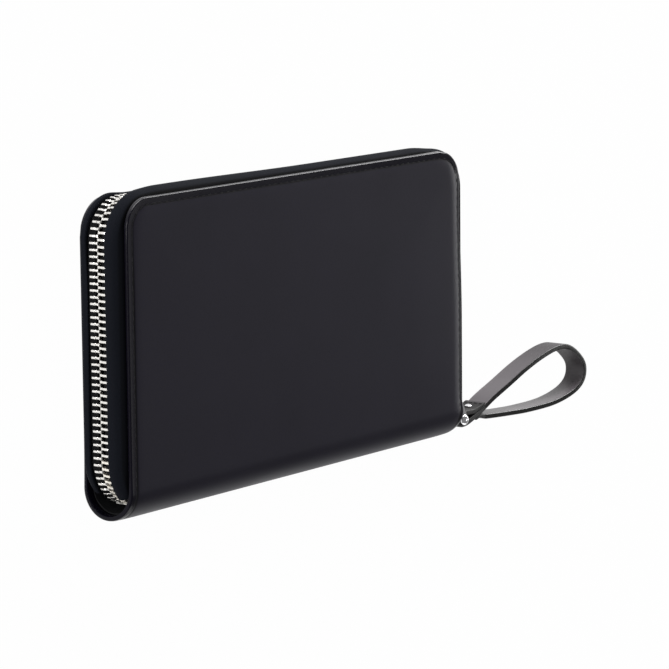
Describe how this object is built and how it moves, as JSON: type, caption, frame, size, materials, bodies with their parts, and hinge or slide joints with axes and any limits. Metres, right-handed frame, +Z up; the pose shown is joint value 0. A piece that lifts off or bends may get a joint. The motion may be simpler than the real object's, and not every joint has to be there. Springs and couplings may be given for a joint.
{
  "type": "travel document organizer",
  "caption": "Black leather zip-around travel document organizer with a round spine, stitched borders, a metal zip between rounded bands, and a wrist strap loop on the slider.",
  "frame": {"origin": "The middle of the back cover's outside face, on the plane it lies on.", "axes": "X runs along the width towards the strap, Y from the spine to the zip's long side, Z up through the front cover."},
  "size_m": [0.3576, 0.1345, 0.027],
  "materials": {
    "leather": "smooth black calf leather with a soft sheen and turned, stitched borders",
    "band_leather": "smooth black leather rolled over beside the zip",
    "strap_leather": "smooth black leather with painted edges",
    "pocket_leather": "thin black leather with stitched seams",
    "lining": "black woven lining",
    "board": "grey stiffening board",
    "tape": "black herringbone zip tape",
    "zip_metal": "polished silver metal teeth",
    "slider_metal": "polished silver cast metal"
  },
  "bodies": {
    "back": {"back_cover": "leather", "back_board": "board", "back_lining": "lining", "back_zip_band": "band_leather", "back_zip_tape": "tape", "back_zip_teeth": "zip_metal", "back_side_teeth": "zip_metal", "tail_teeth": "zip_metal", "tail_tape": "tape", "slider_teeth": "zip_metal", "zip_stops": "zip_metal", "document_pocket": "pocket_leather", "passport_pocket": "pocket_leather"},
    "spine": {"spine_cover": "leather", "spine_lining": "lining"},
    "front": {"front_cover": "leather", "front_board": "board", "front_lining": "lining", "front_zip_band": "band_leather", "front_zip_tape": "tape", "front_zip_teeth": "zip_metal", "front_side_teeth": "zip_metal", "card_panel_1": "pocket_leather", "card_panel_2": "pocket_leather", "card_panel_3": "pocket_leather", "card_panel_4": "pocket_leather"},
    "slider": {"zip_slider": "slider_metal", "strap_pin": "slider_metal"},
    "strap": {"wrist_strap": "strap_leather", "strap_rivet": "slider_metal"}
  },
  "joints": [
    {"name": "spine_fold", "type": "hinge", "parent": "back", "child": "spine", "pos_m": [0, -0.0631, 0.0029], "axis": [1, 0, 0], "range_deg": [0, 90]},
    {"name": "cover_open", "type": "hinge", "parent": "spine", "child": "front", "pos_m": [0, -0.0631, 0.0241], "axis": [1, 0, 0], "range_deg": [0, 90]},
    {"name": "zip_slide", "type": "slide", "parent": "back", "child": "slider", "axis": [0, 1, 0], "range_m": [0, 0.092], "deforming": ["back_side_teeth", "front_side_teeth", "slider_teeth"]},
    {"name": "strap_swing", "type": "hinge", "parent": "slider", "child": "strap", "pos_m": [0.1281, -0.06085, 0.0135], "axis": [0, 0, 1], "range_deg": [-75, 60]}
  ],
  "couplings": [
    {"joint": "spine_fold", "follows": "cover_open", "ratio": 1}
  ]
}
